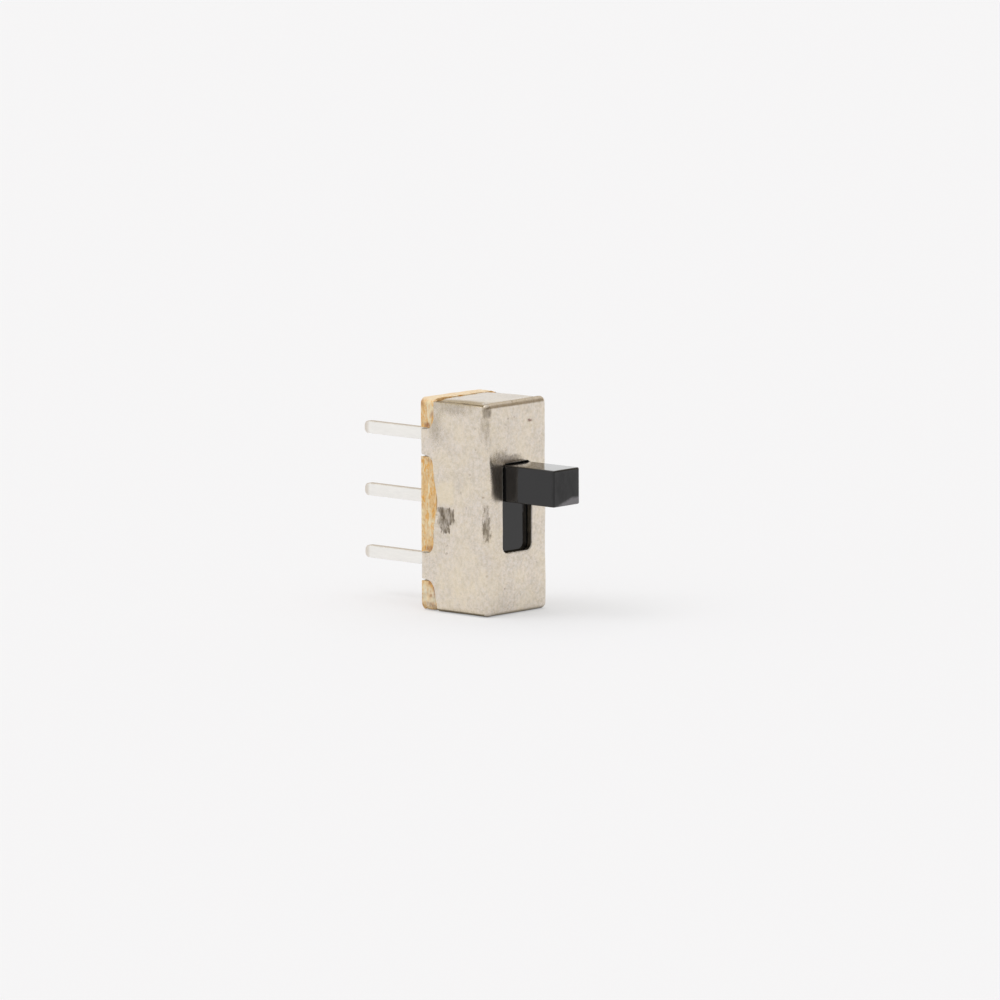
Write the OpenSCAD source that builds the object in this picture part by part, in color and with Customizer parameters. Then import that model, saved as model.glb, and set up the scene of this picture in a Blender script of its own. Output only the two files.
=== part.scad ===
// Miniature slide switch for through-hole mounting: one pole, two positions.
// It stands on one end. +Z runs along its length, the handle points to -Y
// and the terminals point to +Y. The origin is the centre of the lower end.
// Sizes are in millimetres.

/* [Cover] */
// Width of the cover over its side walls
cover_w = 3.6; // [3.4:0.1:5]
// Depth from the front face of the cover to the back of the board
housing_d = 3.5; // [3.4:0.1:5]
// Thickness of the cover's sheet
sheet_t = 0.22; // [0.16:0.02:0.4]
// Inner radius of the bends at the front of the cover
bend_r = 0.03; // [0.02:0.01:0.1]
// How far the side walls stop short of the faces of the end flaps
wall_step = 0.12; // [0.05:0.01:0.25]
// Free length between an end flap and the slider at the end of its travel
end_room = 0.18; // [0.04:0.02:1]

/* [Cover tabs] */
// Width of a tab
tab_w = 1.1; // [0.8:0.1:1.4]
// Distance between the centres of the two tabs of a side wall
tab_pitch = 4.95; // [4:0.05:5.4]
// Radius of the fillets at the root of a tab
tab_root_r = 0.3; // [0.15:0.05:0.4]
// Inner radius of a tab's bend over the back of the board
tab_bend_r = 0.2; // [0.1:0.05:0.3]
// Length of a tab's flat end, which lies on the back of the board
tab_flat = 0.45; // [0.2:0.05:0.6]

/* [Board] */
// Thickness of the board
board_t = 0.8; // [0.6:0.05:1]
// How far the board's upper end stands past the cover
board_proud = 0; // [0:0.02:0.2]
// Radius of the board's corners
board_corner_r = 0.25; // [0.1:0.05:0.5]
// Gap between a tab's edges and its notch in the board
notch_gap = 0.1; // [0.02:0.02:0.14]

/* [Handle and slot] */
// Width of the handle, across the slot
handle_w = 1.52; // [1.2:0.02:1.8]
// Length of the handle, along the slot
handle_l = 1.46; // [1:0.02:2]
// How far the handle stands out of the cover
handle_h = 2.6; // [1:0.1:6]
// Radius of the handle's edges
handle_r = 0.08; // [0.04:0.01:0.2]
// Travel of the slider from one position to the other
travel = 2; // [1.6:0.1:2.2]
// Gap between the handle and each side of the slot
slot_side_gap = 0.09; // [0.04:0.01:0.15]
// Gap between the handle and the end of the slot at each position
slot_end_gap = 0.05; // [0.02:0.01:0.15]
// Radius of the slot's corners
slot_r = 0.27; // [0.1:0.01:0.4]

/* [Slider] */
// Thickness of the slider's flange behind the slot
flange_t = 0.5; // [0.35:0.05:0.6]
// How far the flange reaches past the end of the slot at each position
flange_lap = 0.07; // [0.04:0.01:0.2]
// Gap between the slider and the inside of the cover, and the board
slide_gap = 0.05; // [0.02:0.01:0.08]
// Thickness of the slider's wall at each end of the contact clip
end_wall_t = 0.4; // [0.25:0.05:0.6]

/* [Terminals] */
// Distance between the centres of neighbouring terminals
pitch = 2.5; // [2.2:0.1:2.7]
// Width of a pin
pin_w = 0.5; // [0.4:0.05:0.7]
// Thickness of a pin and of the blade inside the cover
pin_t = 0.3; // [0.2:0.05:0.4]
// Length of a pin behind the board
pin_l = 4.55; // [2.5:0.05:6]
// Radius of the corners of a pin's tip
tip_r = 0.2; // [0.1:0.01:0.2]
// Gap between the blades of neighbouring terminals
blade_gap = 0.6; // [0.4:0.05:0.9]
// Radius of the corners at the top of a blade
blade_r = 0.15; // [0.05:0.05:0.3]

/* [Contact clip] */
// Thickness of the clip's spring strip
clip_t = 0.12; // [0.08:0.01:0.14]
// Distance from the middle plane to the inner face of a leaf
leaf_x = 0.4; // [0.35:0.01:0.45]
// Length of a leaf past the ridge at each end
leaf_end = 0.15; // [0.1:0.05:0.3]
// Inner radius of the bends between the clip's back and its leaves
clip_bend_r = 0.12; // [0.05:0.01:0.15]
// Gap between the clip and its pocket in the slider
clip_gap = 0.02; // [0.01:0.01:0.05]
// Gap between a ridge and the face of a blade
contact_gap = 0.01; // [0.01:0.01:0.03]
// Gap between the clip's back and the top of the blades
blade_top_gap = 0.25; // [0.15:0.05:0.4]
// Gap between the leaves and the board
leaf_board_gap = 0.3; // [0.1:0.05:0.5]

/* [Hidden] */
$fn = 64;
// Overlap that joins two solids, and how far a cut runs past a face
join = 0.02;
past = 1;

// Lengths along Z
slot_l = handle_l + travel + 2 * slot_end_gap;
flange_l = slot_l + travel + 2 * flange_lap;
cover_l = flange_l + travel + 2 * end_room + 2 * sheet_t;
inner_l = cover_l - 2 * sheet_t;
mid_z = cover_l / 2;
slider_z = mid_z + travel / 2;
board_l = cover_l + board_proud;

// Widths along X
slot_w = handle_w + 2 * slot_side_gap;
inner_w = cover_w - 2 * sheet_t;
slider_w = inner_w - 2 * slide_gap;
fold_r = bend_r + sheet_t;
flap_w = cover_w - 2 * fold_r;
tab_fold_r = tab_bend_r + sheet_t;
notch_depth = sheet_t + tab_bend_r;

// Places along Y, from the handle's end to the pins' tips
front_y = -housing_d / 2;
back_y = housing_d / 2;
board_y = back_y - board_t;
flange_y = front_y + sheet_t + slide_gap;
pocket_y = flange_y + flange_t;
clip_y = pocket_y + clip_gap;
blade_y = clip_y + clip_t + blade_top_gap;
leaf_end_y = board_y - leaf_board_gap;
skirt_y = board_y - slide_gap;

// Terminals and contact clip
blade_w = pitch - blade_gap;
blade_z = [for (i = [-1:1]) mid_z + i * pitch];
leaf_out_x = leaf_x + clip_t;
ridge_r = leaf_out_x - pin_t / 2 - contact_gap;
clip_l = pitch + 2 * ridge_r + 2 * leaf_end;
channel_w = 2 * leaf_x;

steel = [0.80, 0.77, 0.72];
laminate = [0.84, 0.69, 0.45];
black = [0.09, 0.09, 0.10];
tin = [0.86, 0.86, 0.86];
bronze = [0.78, 0.55, 0.32];

TERMINALS = ["terminal_lower", "terminal_middle", "terminal_upper"];

// Extrudes an X-Z outline along Y, from y0 to y1
module along_y(y0, y1) {
    translate([0, y1, 0]) rotate([90, 0, 0]) linear_extrude(y1 - y0) children();
}

// Extrudes a Y-Z outline along X, from x0 to x1
module along_x(x0, x1) {
    translate([x0, 0, 0]) rotate([90, 0, 90]) linear_extrude(x1 - x0) children();
}

// A centred rectangle with round corners
module round_rect(w, l, r) {
    square([w - 2 * r, l], center = true);
    square([w, l - 2 * r], center = true);
    for (x = [-1, 1], z = [-1, 1])
        translate([x * (w / 2 - r), z * (l / 2 - r)]) circle(r);
}

// A quarter disc between +X and +Y
module quarter(r) {
    intersection() {
        circle(r);
        square(r);
    }
}

// The front of a block: a flat face whose edges and corners are rounded, as deep as their radius
module round_front(w, l, r) {
    flat_w = w - 2 * r;
    flat_l = l - 2 * r;
    along_y(0, r) square([flat_w, flat_l], center = true);
    translate([0, r, 0]) {
        for (side = [0, 1]) mirror([side, 0, 0])
            translate([flat_w / 2, 0, -flat_l / 2])
                mirror([0, 1, 0]) linear_extrude(flat_l) quarter(r);
        for (end = [0, 1]) mirror([0, 0, end])
            translate([-flat_w / 2, 0, flat_l / 2])
                rotate([90, 0, 90]) mirror([1, 0, 0]) linear_extrude(flat_w) quarter(r);
        for (side = [0, 1], end = [0, 1]) mirror([side, 0, 0]) mirror([0, 0, end])
            translate([flat_w / 2, 0, flat_l / 2])
                mirror([0, 1, 0]) rotate_extrude(angle = 90) quarter(r);
    }
}

// The Y-Z outline of a tab from its filleted root to the back of the board, gap wider at each edge
module tab_outline(gap) {
    edge = tab_w / 2 + gap;
    foot = edge + tab_root_r;
    difference() {
        translate([board_y - join, -foot]) square([back_y - board_y + join, 2 * foot]);
        for (side = [0, 1]) mirror([0, side]) {
            translate([board_y + tab_root_r, foot]) circle(tab_root_r);
            translate([board_y + tab_root_r, edge]) square([past, past]);
        }
    }
}

// The outline of a quarter-turn bend in sheet, with a short straight end on both sides
module bend(r, t) {
    intersection() {
        difference() {
            circle(r + t);
            circle(r);
        }
        square(r + t);
    }
    translate([r, -join]) square([t, join]);
    translate([-join, r]) square([join, t]);
}

// One tab of the side wall at +X, bent over the back of the board
module tab() {
    along_x(cover_w / 2 - sheet_t, cover_w / 2)
        intersection() {
            tab_outline(0);
            translate([0, -cover_l / 2]) square([back_y - tab_bend_r, cover_l]);
        }
    translate([cover_w / 2 - tab_fold_r, back_y - tab_bend_r, -tab_w / 2])
        linear_extrude(tab_w) bend(tab_bend_r, sheet_t);
    translate([cover_w / 2 - tab_fold_r - tab_flat, back_y, -tab_w / 2])
        cube([tab_flat, sheet_t, tab_w]);
}

// The places of the four tabs, turned so that +X points out of their wall
module at_tabs() {
    for (side = [0, 1], z = [-1, 1])
        translate([0, 0, mid_z + z * tab_pitch / 2]) mirror([side, 0, 0]) children();
}

// Folded sheet: front with the slot, two side walls with tabs, two end flaps
module cover() color(steel) {
    translate([0, 0, mid_z]) difference() {
        union() {
            translate([0, front_y, 0]) round_front(cover_w, cover_l, fold_r);
            along_y(front_y + fold_r, board_y) {
                square([cover_w, cover_l - 2 * wall_step], center = true);
                square([flap_w, cover_l], center = true);
            }
        }
        translate([0, front_y + sheet_t, 0]) round_front(inner_w, inner_l, bend_r);
        along_y(front_y + fold_r, back_y) square([inner_w, inner_l], center = true);
        for (x = [-1, 1], z = [-1, 1])
            translate([x * (flap_w + bend_r) / 2, 0, z * cover_l / 2])
                along_y(front_y + fold_r, back_y)
                    square([bend_r, 2 * sheet_t], center = true);
        along_y(front_y - past, front_y + sheet_t + past) round_rect(slot_w, slot_l, slot_r);
    }
    at_tabs() tab();
}

// Punched laminate that closes the back, with notches for the tabs and holes for the pins
module base_board() color(laminate) {
    difference() {
        translate([0, 0, board_l / 2])
            along_y(board_y, back_y) round_rect(cover_w, board_l, board_corner_r);
        at_tabs()
            along_x(cover_w / 2 - notch_depth, cover_w / 2 + past) tab_outline(notch_gap);
        for (z = blade_z)
            translate([0, 0, z])
                along_y(board_y - past, back_y + past) square([pin_t, pin_w], center = true);
    }
}

// Stamped blade: wide inside the cover, narrow through the board and behind it
module terminal(i) color(tin) translate([0, 0, blade_z[i]]) along_x(-pin_t / 2, pin_t / 2) {
    translate([board_y, 0]) mirror([1, 0]) round_end(board_y - blade_y, blade_w, blade_r);
    translate([board_y, 0]) round_end(board_t + pin_l, pin_w, tip_r);
}

// A strip that starts at the middle of its left edge and has round corners at its right end
module round_end(length, width, r) {
    translate([0, -width / 2]) square([length - r, width]);
    translate([length - r, r - width / 2]) square([r, width - 2 * r]);
    for (side = [-1, 1])
        translate([length - r, side * (width / 2 - r)]) circle(r);
}

// One moulding: handle, flange behind the slot, and the carrier that holds the clip
module slider() color(black) translate([0, 0, slider_z]) {
    carrier_l = clip_l + 2 * clip_gap + 2 * end_wall_t;
    translate([0, front_y - handle_h, 0]) round_front(handle_w, handle_l, handle_r);
    along_y(front_y - handle_h + handle_r, flange_y + join)
        round_rect(handle_w, handle_l, handle_r);
    difference() {
        union() {
            along_y(flange_y, pocket_y) square([slider_w, flange_l], center = true);
            along_y(flange_y, skirt_y) square([slider_w, carrier_l], center = true);
        }
        along_y(pocket_y, board_y)
            square([2 * (leaf_out_x + clip_gap), clip_l + 2 * clip_gap], center = true);
        along_y(blade_y - clip_t - blade_top_gap / 2, board_y)
            square([channel_w, flange_l], center = true);
    }
}

// Folded spring strip: its two leaves grip the blades between pairs of ridges
module contact_clip() color(bronze) translate([0, 0, slider_z]) {
    bend_x = leaf_x - clip_bend_r;
    bend_y = clip_y + clip_t + clip_bend_r;
    translate([0, 0, -clip_l / 2]) linear_extrude(clip_l) {
        translate([-bend_x, clip_y]) square([2 * bend_x, clip_t]);
        for (side = [0, 1]) mirror([side, 0])
            translate([bend_x, bend_y]) mirror([0, 1]) bend(clip_bend_r, clip_t);
    }
    along_y(bend_y, leaf_end_y)
        for (side = [0, 1]) mirror([side, 0]) leaf();
}

// The X-Z outline of one leaf: a flat strip with a half-round ridge over each blade
module leaf() {
    difference() {
        translate([leaf_x, -clip_l / 2]) square([clip_t, clip_l]);
        for (z = [-1, 1])
            translate([leaf_out_x, z * pitch / 2]) circle(ridge_r - clip_t);
    }
    for (z = [-1, 1])
        translate([leaf_out_x, z * pitch / 2])
            intersection() {
                difference() {
                    circle(ridge_r);
                    circle(ridge_r - clip_t);
                }
                translate([-ridge_r, -ridge_r]) square([ridge_r, 2 * ridge_r]);
            }
}

cover();
base_board();
for (i = [0:2]) terminal(i);
slider();
contact_clip();
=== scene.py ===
"""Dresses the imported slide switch: fine meshes and finishes for its pieces, and a plain studio."""

import math

import bmesh
import bpy
from bpy.props import FloatProperty, FloatVectorProperty, PointerProperty
from mathutils import Matrix, Vector, noise


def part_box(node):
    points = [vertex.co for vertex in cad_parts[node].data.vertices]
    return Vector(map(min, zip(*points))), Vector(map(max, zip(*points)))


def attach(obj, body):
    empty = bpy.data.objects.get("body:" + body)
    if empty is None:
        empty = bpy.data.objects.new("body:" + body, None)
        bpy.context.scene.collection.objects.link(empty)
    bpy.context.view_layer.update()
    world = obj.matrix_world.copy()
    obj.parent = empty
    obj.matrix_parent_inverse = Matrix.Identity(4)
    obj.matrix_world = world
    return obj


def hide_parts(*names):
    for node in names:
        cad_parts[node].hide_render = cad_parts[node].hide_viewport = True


bl_info = {
    "name": "Slide Switch",
    "version": (1, 0, 0),
    "blender": (4, 5, 0),
    "location": "View3D > Sidebar > Switch",
    "description": "Builds the pieces and finishes of a miniature slide switch, and its studio",
    "category": "Object",
}

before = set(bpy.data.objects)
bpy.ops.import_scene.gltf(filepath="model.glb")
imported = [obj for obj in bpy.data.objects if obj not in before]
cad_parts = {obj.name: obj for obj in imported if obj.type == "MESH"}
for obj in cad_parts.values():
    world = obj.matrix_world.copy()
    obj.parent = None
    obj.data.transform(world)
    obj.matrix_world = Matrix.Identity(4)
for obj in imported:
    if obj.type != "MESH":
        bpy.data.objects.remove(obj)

MM = 0.001  # one millimetre, in metres: meshes are worked out in millimetres
MARGIN = 0.02  # how near two places may be and still count as one, in millimetres
TERMINALS = ("terminal_lower", "terminal_middle", "terminal_upper")
HOUSING = "housing"
SLIDER = "slider"


def box_in_mm(node):
    """A piece's lowest and highest corner, in millimetres."""
    return [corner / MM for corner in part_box(node)]


COVER_LOW, COVER_HIGH = box_in_mm("cover")
BOARD_LOW, BOARD_HIGH = box_in_mm("base_board")
SLIDER_LOW, SLIDER_HIGH = box_in_mm("slider")
MIDDLE_Z = (COVER_LOW.z + COVER_HIGH.z) / 2
HALF_LENGTH = (COVER_HIGH.z - COVER_LOW.z) / 2
PIN_TIP = box_in_mm(TERMINALS[0])[1].y


# ---- properties ----


def length(name, description, default):
    """A length property, with its default in millimetres."""
    return FloatProperty(
        name=name, description=description, default=default * MM, unit="LENGTH", precision=6
    )


def angle(name, description, default):
    """An angle property, with its default in degrees."""
    return FloatProperty(
        name=name, description=description, default=math.radians(default), subtype="ANGLE"
    )


def colour(name, description, default):
    """A colour property, in linear RGB."""
    return FloatVectorProperty(
        name=name, description=description, default=default, size=3, subtype="COLOR", min=0, max=1
    )


class CoverSizes(bpy.types.PropertyGroup):
    """Sizes of the folded cover that its box doesn't give."""

    sheet: length("Sheet", "Thickness of the folded sheet", 0.22)
    fold: length("Fold radius", "Outer radius of the folds around the front", 0.25)
    wall_step: length("Wall step", "How far the side walls stop short of the end flaps", 0.12)
    ease: length("Ease", "Distance over which a wall's end leaves the drawn corner", 0.06)
    slot_width: length("Slot width", "Width of the slot in the front", 1.7)
    slot_length: length("Slot length", "Length of the slot in the front", 3.56)
    slot_corner: length("Slot corner", "Radius of the slot's corners", 0.27)
    tab_width: length("Tab width", "Width of each tab over the board", 1.1)
    tab_pitch: length("Tab pitch", "Distance between the tabs of one wall", 4.95)
    tab_root: length("Tab root", "Height of the fillets at a tab's root", 0.28)
    tab_spread: length("Tab spread", "Reach of the fillets along the wall's edge", 0.42)
    tab_taper: length("Tab taper", "How much a tab narrows on each side towards its bend", 0.04)
    tab_bend: length("Tab bend", "Inner radius of a tab's bend", 0.2)
    tab_flat: length("Tab flat", "Length of a tab's flat end", 0.45)
    edge_bow: length("Edge bow", "How far a wall's edge bows back between its tabs", 0.22)
    edge_fall: length("Edge fall", "How far the side walls' edges draw back at their lower ends", 0.12)
    edge_lap: length("Edge lap", "How far a wall's edge laps over the board at its tabs", 0.16)
    flap_lap: length("Flap lap", "How far the end flaps lap over the board", 0.1)
    wave: length("Wave", "Depth of the waves in the sheet", 0.018)
    slack: length("Slack", "How far the front sinks into the fold beside the slot", 0.1)
    droop: length("Droop", "How far the upper end flap sinks towards its free end", 0.05)
    roll: length("Roll", "How far the upper flap's side edges roll over", 0.07)
    roll_width: length("Roll width", "Width of the rolled sides of a flap", 0.45)
    rim: length("Rim", "Rounding of the sheared edges", 0.035)


class BoardSizes(bpy.types.PropertyGroup):
    """Sizes of the laminate board that its box doesn't give."""

    corner: length("Corner", "Radius of the board's corners", 0.25)
    notch_gap: length("Notch gap", "Gap between a tab and the end of its notch", 0.02)
    notch_depth: length("Notch depth", "Depth of the notches for the tabs", 0.42)
    tear: length("Tear", "Depth of the tears in the punched edge", 0.024)
    rim: length("Rim", "Rounding along the back face", 0.02)
    lap_gap: length("Lap gap", "Gap between the board and the sheet that laps over it", 0.006)
    chip: length("Chip", "Size of the chipped lower corner", 0.28)
    crumble: length("Crumble", "Depth of the crumbled surface at that corner", 0.09)
    worn: length("Worn", "How far the board's top edge is worn down towards its far end", 0.03)


class TerminalSizes(bpy.types.PropertyGroup):
    """Sizes of the stamped terminals that their boxes don't give."""

    pin_width: length("Pin width", "Width of a pin", 0.5)
    tip: length("Tip", "Radius of the corners of a pin's tip", 0.2)
    blade_corner: length("Blade corner", "Radius of the corners of a blade", 0.15)
    rim: length("Rim", "Rounding of the stamped edges", 0.04)


class SliderSizes(bpy.types.PropertyGroup):
    """Sizes of the moulded slider that its box doesn't give."""

    handle_width: length("Handle width", "Width of the handle", 1.52)
    handle_length: length("Handle length", "Length of the handle along the slot", 1.46)
    handle_edge: length("Handle edge", "Rounding of the handle's edges", 0.07)
    flange: length("Flange", "Thickness of the flange behind the slot", 0.5)
    flange_edge: length("Flange edge", "Rounding of the flange's edges", 0.03)
    join: length("Join", "How far handle and carrier run into the flange", 0.1)
    wall_gap: length("Wall gap", "Gap between the flange and the cover's front", 0.05)
    carrier_length: length("Carrier length", "Length of the block behind the flange", 4.38)
    channel: length("Channel", "Width of the channel that the blades run in", 0.8)
    channel_depth: length("Channel depth", "Distance from the flange to the channel's floor", 0.15)


class Finishes(bpy.types.PropertyGroup):
    """Colours of the finishes."""

    steel: colour("Plated steel", "Dull nickel plate on the cover", (0.746, 0.675, 0.600))
    steel_speck: colour("Steel specks", "Dull specks all over the plate", (0.618, 0.550, 0.447))
    sheared: colour("Sheared steel", "Edges where the plated sheet was cut", (0.44, 0.37, 0.26))
    laminate: colour("Laminate", "Punched edge of the paper laminate", (0.920, 0.625, 0.300))
    laminate_face: colour("Laminate face", "Smooth face of the paper laminate", (0.52, 0.27, 0.10))
    plastic: colour("Plastic", "Black moulded plastic", (0.0115, 0.0115, 0.0125))
    tin: colour("Tin", "Tin plate on the pins", (0.90, 0.885, 0.85))
    brass: colour("Brass", "Edges of the pins where the strip was cut", (0.56, 0.47, 0.37))
    bronze: colour("Bronze", "Spring bronze of the contact clip", (0.62, 0.34, 0.15))


class StageSizes(bpy.types.PropertyGroup):
    """The studio: floor, lamps and camera."""

    azimuth: angle("Azimuth", "Camera angle around the switch, 0 looking along +Y", -48.0)
    elevation: angle("Elevation", "Camera angle above the floor", 8.15)
    roll: angle("Roll", "Turn of the camera about its own axis", -0.27)
    distance: length("Distance", "Camera distance", 420.0)
    lens: FloatProperty(name="Lens", description="Focal length in millimetres", default=381.8, min=1)
    right: length("Right", "How far the view's centre lies right of the housing's axis", 1.9125)
    down: length("Down", "How far the view's centre lies below the housing's middle", 0.054)
    floor: colour("Floor", "Paint of the floor", (0.54, 0.54, 0.56))
    glow: colour("Glow", "Light that shows through the translucent floor", (0.364, 0.372, 0.378))


GROUPS = {
    "switch_cover": CoverSizes,
    "switch_board": BoardSizes,
    "switch_terminals": TerminalSizes,
    "switch_slider": SliderSizes,
    "switch_finishes": Finishes,
    "switch_stage": StageSizes,
}


# ---- meshes ----


def in_mm(group):
    """The group's lengths as plain numbers, in millimetres."""
    names = [p.identifier for p in group.bl_rna.properties if p.type == "FLOAT"]
    return {name: getattr(group, name) / MM for name in names}


def spread(start, end, count):
    """count + 1 even steps from start to end."""
    return [start + (end - start) * i / count for i in range(count + 1)]


def arc(cx, cy, radius, start, end, count):
    """Points on an arc, from one angle to another, in degrees."""
    angles = [math.radians(a) for a in spread(start, end, count)]
    return [(cx + radius * math.cos(a), cy + radius * math.sin(a)) for a in angles]


def make_object(name, bm, material):
    """Turns a mesh worked out in millimetres into an object in metres, with smooth shading."""
    bmesh.ops.recalc_face_normals(bm, faces=bm.faces)
    bmesh.ops.scale(bm, vec=(MM, MM, MM), verts=bm.verts)
    mesh = bpy.data.meshes.new(name)
    bm.to_mesh(mesh)
    bm.free()
    mesh.shade_smooth()
    obj = bpy.data.objects.new(name, mesh)
    bpy.context.scene.collection.objects.link(obj)
    obj.data.materials.append(material)
    return obj


def apply_modifiers(obj):
    """Replaces the object's mesh by what its modifiers make of it."""
    graph = bpy.context.evaluated_depsgraph_get()
    mesh = bpy.data.meshes.new_from_object(obj.evaluated_get(graph))
    obj.modifiers.clear()
    old = obj.data
    obj.data = mesh
    bpy.data.meshes.remove(old)


def round_edges(obj, width, segments=3, angle=35, limit="ANGLE"):
    """Rounds the edges sharper than the angle, or those marked, and evens the flat faces' shading."""
    bevel = obj.modifiers.new("Round edges", "BEVEL")
    bevel.width = width * MM
    bevel.segments = segments
    bevel.limit_method = limit
    bevel.angle_limit = math.radians(angle)
    bevel.use_clamp_overlap = False
    even_shading(obj)


def even_shading(obj, angle=35):
    """Shades flat faces flat and their roundings round, and applies the object's modifiers."""
    apply_modifiers(obj)
    old = obj.data.attributes.get("custom_normal")
    if old:
        obj.data.attributes.remove(old)
    obj.data.set_sharp_from_angle(angle=math.radians(angle))
    weighted = obj.modifiers.new("Even shading", "WEIGHTED_NORMAL")
    weighted.keep_sharp = True
    apply_modifiers(obj)


def combine(obj, other, operation):
    """Adds or cuts another object, which is used up."""
    boolean = obj.modifiers.new("Combine", "BOOLEAN")
    boolean.operation = operation
    boolean.solver = "EXACT"
    boolean.object = other
    apply_modifiers(obj)
    bpy.data.objects.remove(other)


def prism(outline, place, low, high, rim=0):
    """A closed solid between two copies of an outline, whose rim takes a material of its own.

    place(u, v, w) gives a corner in X, Y, Z.
    """
    bm = bmesh.new()
    ends = [[bm.verts.new(place(u, v, w)) for u, v in outline] for w in (low, high)]
    for end in ends:
        bm.faces.new(end)
    for i in range(len(outline)):
        j = (i + 1) % len(outline)
        bm.faces.new((ends[0][i], ends[0][j], ends[1][j], ends[1][i])).material_index = rim
    return bm


def box_mesh(low, high):
    """A plain box, as a base that is rounded or combined further."""
    outline = [(low[0], low[1]), (high[0], low[1]), (high[0], high[1]), (low[0], high[1])]
    return prism(outline, lambda u, v, w: (u, v, w), low[2], high[2])


# ---- node helpers ----


def set_inputs(node, **inputs):
    """Links sockets to a node's inputs, or sets them to plain values; a colour gets full alpha.

    An input is given by its name with _ for a space, or by its number after an i, as in i0.
    """
    for key, value in inputs.items():
        numbered = key[0] == "i" and key[1:].isdigit()
        socket = node.inputs[int(key[1:]) if numbered else key.replace("_", " ")]
        if isinstance(value, bpy.types.NodeSocket):
            node.id_data.links.new(value, socket)
        else:
            socket.default_value = (*value, 1) if socket.type == "RGBA" else value
    return node


class Nodes:
    """A node tree, and the steps that work out values in it."""

    def __init__(self, tree):
        self.tree = tree

    def new(self, kind, settings=None, **inputs):
        """Adds a node with its settings and inputs."""
        node = self.tree.nodes.new(kind)
        for key, value in (settings or {}).items():
            setattr(node, key, value)
        return set_inputs(node, **inputs)

    def math(self, operation, a, b=0.0, clamp=False):
        """One step of arithmetic."""
        settings = {"operation": operation, "use_clamp": clamp}
        return self.new("ShaderNodeMath", settings, i0=a, i1=b).outputs[0]

    def vector(self, operation, a, b):
        """One step of arithmetic on vectors."""
        return self.new("ShaderNodeVectorMath", {"operation": operation}, i0=a, i1=b).outputs[0]

    def parts(self, vector):
        """A vector's X, Y and Z."""
        return self.new("ShaderNodeSeparateXYZ", None, Vector=vector).outputs

    def mix(self, factor, a, b, blend="MIX"):
        """Mixes two colours."""
        settings = {"data_type": "RGBA", "blend_type": blend}
        return self.new("ShaderNodeMix", settings, i0=factor, i6=a, i7=b).outputs[2]

    def remap(self, value, from_low, from_high, to_low=0.0, to_high=1.0):
        """Stretches a value from one range to another, with clamped ends and a smooth start and end."""
        node = self.new(
            "ShaderNodeMapRange", {"interpolation_type": "SMOOTHSTEP"},
            Value=value, From_Min=from_low, From_Max=from_high, To_Min=to_low, To_Max=to_high,
        )
        return node.outputs["Result"]

    def noise(self, vector, scale, detail=2.0, roughness=0.5, distortion=0.0):
        """Noise from 0 to 1, with its scale in features per millimetre."""
        node = self.new(
            "ShaderNodeTexNoise", None, Vector=vector, Scale=scale,
            Detail=detail, Roughness=roughness, Distortion=distortion,
        )
        return node.outputs[0]

    def place_in_mm(self):
        """The point's place on the object, in millimetres."""
        coords = self.new("ShaderNodeTexCoord").outputs["Object"]
        return self.new("ShaderNodeVectorMath", {"operation": "SCALE"}, i0=coords, Scale=1 / MM).outputs[0]


FLOAT = "NodeSocketFloat"
VECTOR = "NodeSocketVector"


def group_nodes(name, inputs, outputs):
    """A new shader node group with the sockets given as (name, type, default)."""
    tree = bpy.data.node_groups.new(name, "ShaderNodeTree")
    for socket, kind, default in inputs:
        item = tree.interface.new_socket(socket, in_out="INPUT", socket_type=kind)
        item.default_value = default
    for socket in outputs:
        tree.interface.new_socket(socket, in_out="OUTPUT", socket_type=FLOAT)
    given = tree.nodes.new("NodeGroupInput").outputs
    return Nodes(tree), given, tree.nodes.new("NodeGroupOutput")


def mark_group():
    """A worn or dirty mark: a squarish patch around a centre, frayed and broken up by noise."""
    name = "Surface mark"
    if name in bpy.data.node_groups:
        return bpy.data.node_groups[name]
    inputs = [
        ("Place", VECTOR, (0, 0, 0)),
        ("Centre", VECTOR, (0, 0, 0)),
        ("Reach", VECTOR, (1, 1, 1)),
        ("Softness", FLOAT, 0.4),
        ("Grain", FLOAT, 8.0),
        ("Break up", FLOAT, 0.5),
    ]
    group, given, result = group_nodes(name, inputs, ["Mask"])
    offset = group.vector("SUBTRACT", given["Place"], given["Centre"])
    inside = group.vector("DIVIDE", offset, given["Reach"])
    square = group.vector("MULTIPLY", inside, inside)
    dot = {"operation": "DOT_PRODUCT"}
    fourth = group.new("ShaderNodeVectorMath", dot, i0=square, i1=square).outputs["Value"]
    body = group.math("SUBTRACT", 1.0, group.math("POWER", fourth, 0.25))
    streaked = group.vector("MULTIPLY", given["Place"], (1.5, 1.5, 0.55))
    grain = group.noise(streaked, given["Grain"], 4.0, 0.7)
    frayed = group.math("MULTIPLY", group.math("SUBTRACT", grain, 0.5), given["Break up"])
    body = group.math("ADD", body, group.math("MULTIPLY", frayed, 2.0))
    torn = group.math("MULTIPLY", group.remap(grain, 0.36, 0.64), given["Break up"])
    kept = group.math("SUBTRACT", 1.0, given["Break up"])
    strength = group.math("ADD", torn, kept)
    soft = group.remap(body, 0.0, given["Softness"])
    set_inputs(result, Mask=group.math("MULTIPLY", soft, strength, clamp=True))
    return group.tree


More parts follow.
